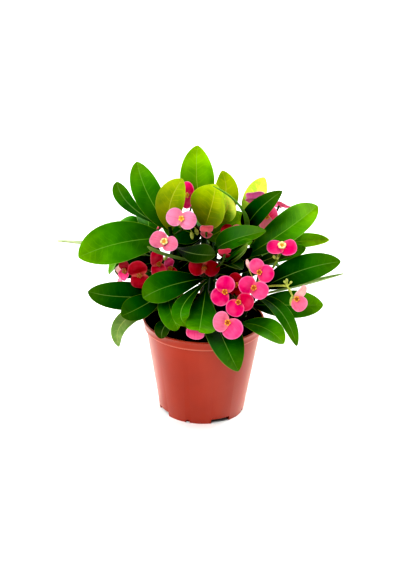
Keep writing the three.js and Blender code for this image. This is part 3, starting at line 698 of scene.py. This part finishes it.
# Sizes of the pot
POT_TURNS = 160
POT_HEIGHT = 97
RIM_RADIUS = 60
RIM_WALL = 1.8
LIP_Z = 88
LIP_RADIUS = 58.5
LIP_STEP = 0.6
BODY_TOP_RADIUS = 56.8
BASE_RADIUS = 42.3
WALL = 1.4
FLOOR = 1.5
FOOT_TURN = 26.5
CHANNEL_WIDTH = 20
CHANNEL_HEIGHT = 4.6
CHANNEL_INNER = 18
NOTCH_WIDTH = 4.4
NOTCH_HEIGHT = 3
NOTCH_INNER = 39.5
DRAIN_RADIUS = 3.5
DRAIN_PITCH = 28
DRAIN_TURNS = 32
BELOW = 2
BEYOND = 10
EASE = 0.5
BEVEL = 0.15
BEAD = 0.3
POT_CREASE = 40
QUARTERS = (0, 90, 180, 270)


# Materials, each with its own pattern; colours are linear
SCATTER_SCALE = 0.0015
LEAF_SCATTER = (0.6, 1.0, 0.15)
LEAF_LIGHTER = (1.9, 1.45, 1.5)
LEAF_DARKER = (0.55, 0.72, 0.5)
LEAF_RIB = (0.5, 0.6, 0.2)
LEAF_MARGIN = (0.6, 0.5, 0.2)
LEAF_BACK = (0.4, 0.52, 0.2)
# Painted light: how much lighter each leaf's tip is painted
TIP_PAINTED_LIGHT = 1.4
VEIN_SLANT = 0.6
VEIN_WANDER = 6.0
VEIN_PITCH = 6.4
BRACT_SCATTER = (1.0, 0.35, 0.5)
BRACT_PALE = (1.0, 0.55, 0.74)
BRACT_STREAK = (0.8, 0.45, 0.55)
BRACT_THROAT = (0.85, 0.3, 0.2)
BARK = (0.034, 0.023, 0.015), (0.12, 0.085, 0.056)
BARK_FLECK = (0.19, 0.16, 0.13)
PLASTIC = (0.32, 0.024, 0.003), (0.37, 0.031, 0.005)
PLASTIC_FLOW = (0.44, 0.055, 0.014)
PLASTIC_PAINTED_HIGHLIGHT = (0.62, 0.2, 0.13)
PLASTIC_SHEEN = (1.0, 0.85, 0.7, 1.0)
# Painted shade: the near-black colours of the pot's inside
INSIDE_SHADE = (0.008, 0.005, 0.004), (0.03, 0.012, 0.008)
SOIL = (0.006, 0.004, 0.003), (0.03, 0.02, 0.012)
PAPER = (0.94, 0.95, 0.95), (0.97, 0.98, 0.98)


class Finish:
    """A Principled material and short calls for the nodes that feed it."""

    def __init__(self, name, **constants):
        self.material = bpy.data.materials.new(name)
        self.material.use_nodes = True
        self.tree = self.material.node_tree
        self.shader = self.tree.nodes["Principled BSDF"]
        for label, value in constants.items():
            self.shader.inputs[label.replace("_", " ")].default_value = value

    def put(self, value, socket):
        if isinstance(value, bpy.types.NodeSocket):
            self.tree.links.new(value, socket)
        else:
            socket.default_value = value

    def node(self, kind, feeds=(), **settings):
        made = self.tree.nodes.new("ShaderNode" + kind)
        for label, value in settings.items():
            setattr(made, label, value)
        for key, value in dict(feeds).items():
            self.put(value, made.inputs[key])
        return made

    def attribute(self, name, output="Vector"):
        return self.node("Attribute", attribute_name=name).outputs[output]

    def place(self):
        return self.node("TexCoord").outputs["Object"]

    def parts(self, vector):
        return self.node("SeparateXYZ", {0: vector}).outputs

    def math(self, operation, first, second=0.0):
        return self.node("Math", {0: first, 1: second}, operation=operation).outputs[0]

    def times(self, first, second):
        return self.math("MULTIPLY", first, second)

    def ramp(self, value, low, high, out_low=0.0, out_high=1.0):
        feeds = enumerate((value, low, high, out_low, out_high))
        return self.node("MapRange", feeds, interpolation_type="SMOOTHSTEP").outputs[0]

    def noise(self, vector, scale, detail=3.0, roughness=0.5):
        feeds = {"Vector": vector, "Scale": scale, "Detail": detail, "Roughness": roughness}
        return self.node("TexNoise", feeds).outputs["Fac"]

    def stretched(self, vector, scale):
        return self.node("Mapping", {"Vector": vector, "Scale": scale}).outputs[0]

    def mix(self, share, first, second, blend="MIX"):
        first, second = (c if isinstance(c, bpy.types.NodeSocket) else (*c, 1) for c in (first, second))
        return self.node("Mix", {0: share, 6: first, 7: second}, data_type="RGBA",
                         blend_type=blend).outputs[2]

    def scaled(self, colour, factors):
        return self.mix(1.0, colour, factors, "MULTIPLY")

    def warmed(self, colour, share):
        """A green turned yellower: a share of its green added to its red."""
        red, green, blue = self.node("SeparateColor", {0: colour}).outputs
        more = self.math("ADD", red, self.times(green, share))
        return self.node("CombineColor", {0: more, 1: green, 2: blue}).outputs[0]

    def bump(self, height, strength, distance):
        feeds = {"Height": height, "Strength": strength, "Distance": distance}
        self.put(self.node("Bump", feeds).outputs[0], self.shader.inputs["Normal"])

    def colour(self, socket):
        self.put(socket, self.shader.inputs["Base Color"])

    def roughness(self, socket):
        self.put(socket, self.shader.inputs["Roughness"])


def leaf_finish(name, gloss, translucence, foot_painted_shade, warmth):
    """Waxy green, with painted shade at the foot and painted light at the tip, a pale rib, faint side
    veins and a paler underside.
    """
    f = Finish(name, Specular_IOR_Level=gloss, Subsurface_Weight=translucence,
               Subsurface_Scale=SCATTER_SCALE, Subsurface_Radius=LEAF_SCATTER)
    tint = f.attribute("tint", "Color")
    lamina = f.attribute("lamina")
    along, across, _ = f.parts(lamina)
    t, x, under = f.parts(f.attribute("share"))
    off_rib = f.math("ABSOLUTE", across)
    edge = f.math("ABSOLUTE", x)

    mottle = f.noise(lamina, 0.06, 2.0)
    fine = f.noise(lamina, 0.8)
    # The pale rib fades out towards the foot, into the painted shade there
    rib = f.times(f.ramp(off_rib, 0.15, 0.7, 1.0, 0.0), f.ramp(t, 0.05, 0.35, 0.1, 1.0))
    rib = f.times(rib, f.ramp(t, 0.75, 1.0, 1.0, 0.3))

    # Side veins leave the rib at a slant, a few millimetres apart, and fade towards the margin
    slant = f.math("SUBTRACT", along, f.times(off_rib, VEIN_SLANT))
    wander = f.times(f.noise(lamina, 0.12, 2.0), VEIN_WANDER)
    wave = f.math("FRACT", f.math("DIVIDE", f.math("ADD", slant, wander), VEIN_PITCH))
    vein = f.ramp(f.math("ABSOLUTE", f.math("SUBTRACT", wave, 0.5)), 0.02, 0.12, 1.0, 0.0)
    vein = f.times(vein, f.ramp(edge, 0.3, 0.85, 1.0, 0.0))

    lighter = f.scaled(tint, LEAF_LIGHTER)
    base = f.mix(f.ramp(mottle, 0.3, 0.7), f.scaled(tint, LEAF_DARKER), tint)
    base = f.mix(f.times(f.ramp(fine, 0.45, 0.8), 0.15), base, lighter)
    base = f.mix(f.times(vein, 0.22), base, lighter)
    # Painted shade and light: the foot is darkened as if shaded inside the plant, the tip is painted
    # lighter as if lit, and the tip also turns yellower
    foot = f.scaled(base, (foot_painted_shade,) * 3)
    tip = f.warmed(f.scaled(base, (TIP_PAINTED_LIGHT,) * 3), f.ramp(t, 0.5, 1.0, 0.0, warmth))
    base = f.mix(f.ramp(t, 0.05, 0.95), foot, tip)
    base = f.mix(f.times(rib, 0.7), base, f.mix(0.3, lighter, LEAF_RIB))
    base = f.mix(f.times(f.ramp(edge, 0.95, 1.0), 0.5), base, f.mix(0.4, lighter, LEAF_MARGIN))
    f.colour(f.mix(f.times(under, 0.6), base, f.mix(0.3, tint, LEAF_BACK)))
    f.roughness(f.ramp(f.math("ADD", fine, f.times(under, 0.5)), 0.2, 1.3, 0.38, 0.75))
    f.bump(f.math("SUBTRACT", f.times(fine, 0.2), f.math("ADD", vein, f.times(rib, 2.0))), 0.3, 0.00025)
    return f.material


def bract_finish():
    """Silky pink with fine streaks that fan from the foot, a paler rim and a darker throat."""
    f = Finish("bract", Roughness=0.5, Specular_IOR_Level=0.12, Subsurface_Weight=0.4,
               Subsurface_Scale=SCATTER_SCALE, Subsurface_Radius=BRACT_SCATTER)
    tint = f.attribute("tint", "Color")
    lamina = f.attribute("lamina")
    t, edge, under = f.parts(f.attribute("share"))
    streaks = f.noise(f.stretched(lamina, (0.1, 0.8, 1)), 1.0)
    cloud = f.noise(lamina, 0.08, 2.0)
    red, _, _ = f.parts(tint)
    light = f.mix(f.ramp(red, 0.35, 0.8, 0.1, 0.5), tint, BRACT_PALE)
    base = f.mix(f.times(f.ramp(streaks, 0.4, 0.75), 0.45), tint, f.scaled(tint, BRACT_STREAK))
    base = f.mix(f.times(f.ramp(cloud, 0.4, 0.7), 0.28), base, light)
    base = f.mix(f.times(f.ramp(edge, 0.82, 1.0), 0.7), base, light)
    base = f.mix(f.ramp(t, 0.05, 0.2, 0.3, 0.0), base, BRACT_THROAT)
    f.colour(f.mix(f.times(under, 0.35), base, light))
    f.bump(streaks, 0.25, 0.0003)
    return f.material


def tinted_finish(name, roughness, gloss, coat, scale, contrast, relief):
    """A material of the piece's own tint, mottled at one scale, with relief to match."""
    f = Finish(name, Roughness=roughness, Specular_IOR_Level=gloss, Coat_Weight=coat)
    tint = f.attribute("tint", "Color")
    grain = f.noise(f.attribute("lamina"), scale, 4.0, 0.6)
    dark, light = (f.scaled(tint, (1 + change,) * 3) for change in (-contrast, contrast))
    f.colour(f.mix(f.ramp(grain, 0.3, 0.7), dark, light))
    f.bump(grain, 0.5, relief)
    return f.material


def bark_finish():
    """Grey-brown bark, streaked lengthwise, with paler corky flecks."""
    f = Finish("bark", Roughness=0.85, Specular_IOR_Level=0.12)
    lamina = f.attribute("lamina")
    streak = f.noise(f.stretched(lamina, (0.12, 0.9, 1)), 1.0, 5.0, 0.65)
    fleck = f.ramp(f.noise(lamina, 0.8), 0.58, 0.68)
    f.colour(f.mix(f.times(fleck, 0.6), f.mix(f.ramp(streak, 0.35, 0.65), *BARK), BARK_FLECK))
    f.bump(streak, 0.8, 0.0008)
    return f.material


def pot_finish():
    """Moulded terracotta-coloured plastic, satin, with faint flow marks and a painted highlight along
    the lip of its band.
    """
    f = Finish("terracotta_plastic", Specular_IOR_Level=0.4, Coat_Weight=0.2, Coat_Roughness=0.35,
               Sheen_Weight=0.3, Sheen_Roughness=0.35, Sheen_Tint=PLASTIC_SHEEN)
    place = f.place()
    cloud = f.noise(place, 22.0)
    flow = f.noise(f.stretched(place, (60, 60, 9)), 1.0)
    fine = f.noise(place, 900.0, 2.0)
    base = f.mix(f.ramp(cloud, 0.3, 0.7), *PLASTIC)
    base = f.mix(f.times(f.ramp(flow, 0.5, 0.8), 0.2), base, PLASTIC_FLOW)
    _, _, z = f.parts(place)
    # Painted highlight: a paler line along the lip where the band steps out
    off_lip = f.math("ABSOLUTE", f.math("SUBTRACT", z, (LIP_Z + LIP_STEP / 2) * MM))
    f.colour(f.mix(f.ramp(off_lip, 0.0003, 0.001, 0.55, 0.0), base, PLASTIC_PAINTED_HIGHLIGHT))
    f.roughness(f.ramp(flow, 0.2, 0.8, 0.28, 0.42))
    f.bump(f.math("ADD", fine, f.times(flow, 0.6)), 0.12, 0.0003)
    return f.material


def inside_shade_finish():
    """The pot's inside, dull and near black: painted shade."""
    f = Finish("painted_shade_plastic", Roughness=0.9, Specular_IOR_Level=0.1)
    place = f.place()
    f.colour(f.mix(f.ramp(f.noise(place, 60.0, 4.0), 0.3, 0.7), *INSIDE_SHADE))
    f.bump(f.noise(place, 700.0), 0.4, 0.0004)
    return f.material


def soil_finish():
    """Dark damp potting mix."""
    f = Finish("potting_mix", Roughness=0.95, Specular_IOR_Level=0.15)
    grain = f.noise(f.place(), 500.0, 5.0, 0.7)
    f.colour(f.mix(f.ramp(grain, 0.35, 0.7), *SOIL))
    f.bump(grain, 1.0, 0.001)
    return f.material


# Leaf materials: name, gloss, translucence, how light the foot stays under its painted shade, how yellow
# the tip turns
LEAF_FINISHES = [
    ("leaf", 0.08, 0.1, 0.08, 0.24),
    ("fresh_leaf", 0.12, 0.4, 0.35, 0.24),
    ("golden_leaf", 0.15, 0.4, 0.5, 0.0),
]

# Tinted materials: name, roughness, gloss, coat, scale of the mottle, its contrast, its relief in metres
TINTED_FINISHES = [
    ("cup", 0.5, 0.5, 0, 1.2, 0.35, 0.0002),
    ("gland", 0.3, 0.5, 0.2, 1.5, 0.25, 0.0001),
    ("stalk", 0.45, 0.2, 0, 0.5, 0.3, 0.0002),
    ("bud", 0.45, 0.5, 0, 0.4, 0.25, 0.0002),
    ("shoot", 0.5, 0.12, 0, 0.3, 0.3, 0.0004),
    ("spine", 0.6, 0.2, 0, 0.5, 0.4, 0.0002),
    ("crumb", 0.95, 0.15, 0, 1.0, 0.5, 0.0006),
]

materials = {row[0]: leaf_finish(*row) for row in LEAF_FINISHES}
materials |= {row[0]: tinted_finish(*row) for row in TINTED_FINISHES}
materials |= {"bract": bract_finish(), "bark": bark_finish(), "pot": pot_finish(),
              "inside_shade": inside_shade_finish(), "soil": soil_finish()}


# Pot, turned smooth and cut by the same channels, notches and drain holes as its solid
def lathe(name, profile, turns):
    """A closed body turned from a profile of radii and heights that starts and ends on the axis."""
    mesh = bpy.data.meshes.new(name)
    inner = profile[1:-1]
    places = [(0, 0, profile[0][1] * MM), (0, 0, profile[-1][1] * MM)]
    for r, z in inner:
        for k in range(turns):
            a = 2 * pi * k / turns
            places.append((r * cos(a) * MM, r * sin(a) * MM, z * MM))
    faces = []
    last = 2 + (len(inner) - 1) * turns
    for k in range(turns):
        j = (k + 1) % turns
        faces += [(0, 2 + j, 2 + k), (1, last + k, last + j)]
        for row in range(2, last, turns):
            faces.append((row + k, row + j, row + turns + j, row + turns + k))
    mesh.from_pydata(places, [], faces)
    return placed(name, mesh)


def box_between(low, high, turn):
    """A box from its two corners, turned about the pot's axis."""
    mesh = bpy.data.meshes.new("cutter")
    corners = [[(low[i], high[i])[(k >> i) & 1] for i in range(3)] for k in range(8)]
    faces = [(0, 2, 3, 1), (4, 5, 7, 6), (0, 1, 5, 4), (2, 6, 7, 3), (0, 4, 6, 2), (1, 3, 7, 5)]
    mesh.from_pydata([Vector(c) * MM for c in corners], [], faces)
    mesh.transform(Matrix.Rotation(radians(turn - 90), 4, "Z"))
    return placed("cutter", mesh)


def cut(piece, tool):
    step = piece.modifiers.new("cut", "BOOLEAN")
    step.operation = "DIFFERENCE"
    step.solver = "EXACT"
    step.object = tool
    bpy.context.view_layer.update()
    depsgraph = bpy.context.evaluated_depsgraph_get()
    made = bpy.data.meshes.new_from_object(piece.evaluated_get(depsgraph))
    piece.modifiers.clear()
    piece.data = made
    bpy.data.objects.remove(tool)


def channel_box(width, height, inner, turn):
    """A box across the pot's base, from a distance off the axis to beyond the wall."""
    return box_between((inner, -width / 2, -BELOW), (BASE_RADIUS + BEYOND, width / 2, height), turn)


def pot_hollow():
    """The room inside the pot, less the roofs over its channels."""
    base = BASE_RADIUS - WALL
    mouth = RIM_RADIUS - RIM_WALL
    hollow = lathe("hollow", [
        (0, FLOOR), (base - 0.4, FLOOR), (base + 0.4, FLOOR + EASE),
        (BODY_TOP_RADIUS - WALL, LIP_Z - LIP_STEP / 2), (LIP_RADIUS - RIM_WALL, LIP_Z + LIP_STEP / 2),
        (mouth, POT_HEIGHT - EASE), (mouth + 0.1, POT_HEIGHT - BEVEL), (mouth + EASE, POT_HEIGHT),
        (mouth + EASE, POT_HEIGHT + 1), (0, POT_HEIGHT + 1),
    ], POT_TURNS)
    for turn in QUARTERS:
        cut(hollow, channel_box(CHANNEL_WIDTH + 2 * WALL, CHANNEL_HEIGHT + WALL, CHANNEL_INNER - WALL,
                                FOOT_TURN + turn))
    return hollow


def drain_hole(turn):
    angle = radians(turn - 90)
    high = 2 * CHANNEL_HEIGHT
    hole = lathe("cutter", [(0, -BELOW), (DRAIN_RADIUS, -BELOW), (DRAIN_RADIUS, high), (0, high)],
                 DRAIN_TURNS)
    offset = Vector((DRAIN_PITCH * cos(angle), DRAIN_PITCH * sin(angle), 0))
    hole.data.transform(Matrix.Translation(offset * MM))
    return hole


def make_pot():
    pot = lathe("pot_shell", [
        (0, 0), (BASE_RADIUS - EASE, 0), (BASE_RADIUS - 0.1, BEVEL), (BASE_RADIUS + 0.05, EASE),
        (BODY_TOP_RADIUS, LIP_Z - LIP_STEP), (LIP_RADIUS, LIP_Z - 0.35), (LIP_RADIUS + BEAD, LIP_Z),
        (LIP_RADIUS + BEAD, LIP_Z + 0.4), (LIP_RADIUS + BEVEL, LIP_Z + 1),
        (RIM_RADIUS - BEVEL, POT_HEIGHT - 1.5), (RIM_RADIUS + BEAD, POT_HEIGHT - 1.1),
        (RIM_RADIUS + BEAD, POT_HEIGHT - EASE), (RIM_RADIUS, POT_HEIGHT - BEVEL),
        (RIM_RADIUS - BEAD, POT_HEIGHT), (0, POT_HEIGHT),
    ], POT_TURNS)
    cut(pot, pot_hollow())
    for turn in QUARTERS:
        middle = FOOT_TURN + turn
        cut(pot, channel_box(CHANNEL_WIDTH, CHANNEL_HEIGHT, CHANNEL_INNER, middle))
        cut(pot, channel_box(NOTCH_WIDTH, NOTCH_HEIGHT, NOTCH_INNER, middle + 45))
        cut(pot, drain_hole(middle))
    mesh = pot.data
    mesh.materials.clear()
    mesh.materials.append(materials["pot"])
    mesh.materials.append(materials["inside_shade"])
    # Faces inside the wall get the painted shade of the pot's inside
    slope = (BODY_TOP_RADIUS - BASE_RADIUS) / LIP_Z
    for face in mesh.polygons:
        x, y, z = face.center / MM
        outer = BASE_RADIUS + slope * z + (LIP_RADIUS - BODY_TOP_RADIUS if z > LIP_Z else 0)
        inside = hypot(x, y) < outer - WALL / 2 and FLOOR <= z < POT_HEIGHT - EASE / 2
        face.material_index = 1 if inside else 0
    mesh.polygons.foreach_set("use_smooth", [True] * len(mesh.polygons))
    mesh.set_sharp_from_angle(angle=radians(POT_CREASE))
    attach(pot, "root")
    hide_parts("pot")


# Soil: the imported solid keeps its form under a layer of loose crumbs
SOIL_Z = 87.5
CRUMBS = 2600
CRUMB_SEED = 7
CRUMB_REACH = 53.5
CRUMB_SIZES = (0.9, 2.4)
CRUMB_HEIGHTS = (0, 0.8)
CRUMB_STRETCHES = (0.6, 1.2)
CRUMB_BUMPS = (0.75, 1.2)
CRUMB_SHADES = (0.2, 1.5)
CRUMB_CREASE = 25
LONGEST_EDGE = 1.2


def icosahedron():
    """Twelve corners at a distance of 1, and the twenty faces between those that are nearest."""
    golden = (1 + sqrt(5)) / 2
    signs = list(product((-1, 1), repeat=2))
    rows = [(a, b * golden, 0) for a, b in signs] + [(0, a, b * golden) for a, b in signs]
    corners = unit(np.array(rows + [(b * golden, 0, a) for a, b in signs], float))
    faces = []
    for i, j, k in combinations(range(len(corners)), 3):
        a, b, c = corners[[i, j, k]]
        if max(norm(a - b), norm(b - c), norm(a - c)) < LONGEST_EDGE:
            faces.append((i, j, k) if np.dot(np.cross(b - a, c - a), a) > 0 else (i, k, j))
    return corners, faces


def make_soil():
    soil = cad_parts["soil"]
    for piece_slot in soil.material_slots:
        piece_slot.material = materials["soil"]
    draw = Random(CRUMB_SEED)
    body = Body()
    corners, faces = icosahedron()
    for _ in range(CRUMBS):
        radius = CRUMB_REACH * sqrt(draw.random())
        angle = draw.uniform(0, 2 * pi)
        size = draw.uniform(*CRUMB_SIZES)
        height = SOIL_Z + draw.uniform(*CRUMB_HEIGHTS)
        centre = np.array((radius * cos(angle), radius * sin(angle), height))
        stretch = np.array([draw.uniform(*CRUMB_STRETCHES) for _ in range(3)])
        rough = np.array([[draw.uniform(*CRUMB_BUMPS)] for _ in corners])
        places = centre + corners * rough * stretch * size
        shade = linear("soil") * draw.uniform(*CRUMB_SHADES)
        flat = np.column_stack([places[:, :2], np.full(len(places), size)])
        body.add(places, faces, "crumb", shade, flat, np.zeros_like(places))
    new_piece("soil_crumbs", body, None, CRUMB_CREASE)


def make_stem(name, seed):
    end = splits[name]
    body = Body()
    stem_tube(body, name, 0, end, wood_radius, "bark", "wood", seed)
    spines(body, name, SPINE_MARGIN, end - SPINE_MARGIN, wood_radius, 0)
    new_piece(f"bark_{name}", body, f"stem_{name}")


def make_shoot(name, seed):
    begin = splits[name]
    body = Body()
    stem_tube(body, name, begin, SHOOT_END, shoot_radius, "shoot", "shoot", seed)
    spines(body, name, begin + SPINE_MARGIN, 1 - SPINE_MARGIN, shoot_radius, 3)
    for i, (stem, s, middle, tip, *rest) in enumerate(LEAVES):
        if stem == name:
            rib, end = points(middle, tip)
            leaf(body, leaf_start(name, s, rib), rib, end, *rest, i)
    for i, (stem, s, *rest) in enumerate(FAR_LEAVES):
        if stem == name:
            far_leaf(body, curve(paths[name], s), *rest, FAR_SEED + i)
    new_piece(f"leaves_{name}", body, f"shoot_{name}")


def make_bloom(row):
    body = Body()
    bloom(body, *row)
    new_piece(f"flowers_{row[0]}", body, f"bloom_{row[0]}")


# Camera: the photograph's own place and angle
PHOTO_HEIGHT = 570
FOCAL_PIXELS = 1830
SENSOR = 36
CAMERA_TILT = 23.5
CAMERA_ROLL = 1.2
CAMERA_DISTANCE = 1800
CAMERA_TARGET = (-4.2, 0, 131.7)
CAMERA_REACH = (0.05, 50)


def make_camera():
    tilt, roll = radians(CAMERA_TILT), radians(CAMERA_ROLL)
    forward = Vector((0, cos(tilt), -sin(tilt)))
    right = Vector((1, 0, 0))
    up = right.cross(forward)
    across = right * cos(roll) + up * sin(roll)
    upward = up * cos(roll) - right * sin(roll)
    data = bpy.data.cameras.new("camera")
    data.sensor_width = SENSOR
    data.lens = FOCAL_PIXELS * SENSOR / PHOTO_HEIGHT
    data.clip_start, data.clip_end = CAMERA_REACH
    camera = placed("camera", data)
    turn = Matrix((across, upward, -forward)).transposed()
    place = (Vector(CAMERA_TARGET) - forward * CAMERA_DISTANCE) * MM
    camera.matrix_world = Matrix.Translation(place) @ turn.to_4x4()
    bpy.context.scene.camera = camera


# Studio, in metres: a white floor, pale surroundings, two broad suns and two soft side lights
FLOOR_SIZE = 12.0
SKY = 0.32
SUNS = {"front": (-0.55, -0.75, 1.0), "back": (0.5, 0.8, 1.0)}
SUN_ANGLE = 32
SUN_POWER = 2.9
SIDE_LIGHTS = {"left": (-1.0, 0.7, 0.35), "right": (1.0, 0.7, 0.35)}
SIDE_SIZE = 1.0
SIDE_POWER = 16
LIGHT_AIM = Vector((0, 0, 0.15))
CONTRAST = 0.8
BLACK = 0.012


def hang(name, kind, place, **settings):
    """A lamp at a place, aimed at the middle of the plant."""
    data = bpy.data.lights.new(name, kind)
    for label, value in settings.items():
        setattr(data, label, value)
    lamp = placed(name, data)
    lamp.location = place
    lamp.rotation_mode = "QUATERNION"
    lamp.rotation_quaternion = (LIGHT_AIM - Vector(place)).to_track_quat("-Z", "Y")


def make_studio():
    mesh = bpy.data.meshes.new("floor")
    half = FLOOR_SIZE / 2
    mesh.from_pydata([(-half, -half, 0), (half, -half, 0), (half, half, 0), (-half, half, 0)], [],
                     [(0, 1, 2, 3)])
    paper = Finish("white_floor", Roughness=0.8)
    paper.colour(paper.mix(paper.noise(paper.place(), 40.0), *PAPER))
    mesh.materials.append(paper.material)
    floor = placed("floor", mesh)

    for name, place in SUNS.items():
        hang(name, "SUN", place, angle=radians(SUN_ANGLE), energy=SUN_POWER)
    for name, place in SIDE_LIGHTS.items():
        hang(name, "AREA", place, size=SIDE_SIZE, energy=SIDE_POWER)

    world = bpy.data.worlds.new("white")
    world.use_nodes = True
    sky = world.node_tree.nodes["Background"].inputs
    sky["Color"].default_value = (1, 1, 1, 1)
    sky["Strength"].default_value = SKY
    scene.world = world
    look = scene.view_settings
    look.view_transform = "Standard"
    look.gamma = CONTRAST
    look.use_curve_mapping = True
    look.curve_mapping.black_level = (BLACK,) * 3
    look.curve_mapping.update()


make_camera()
make_studio()
make_pot()
make_soil()
for number, stem_row in enumerate(STEMS):
    make_stem(stem_row[0], number)
    make_shoot(stem_row[0], number)
for cluster in CLUSTERS:
    make_bloom(cluster)
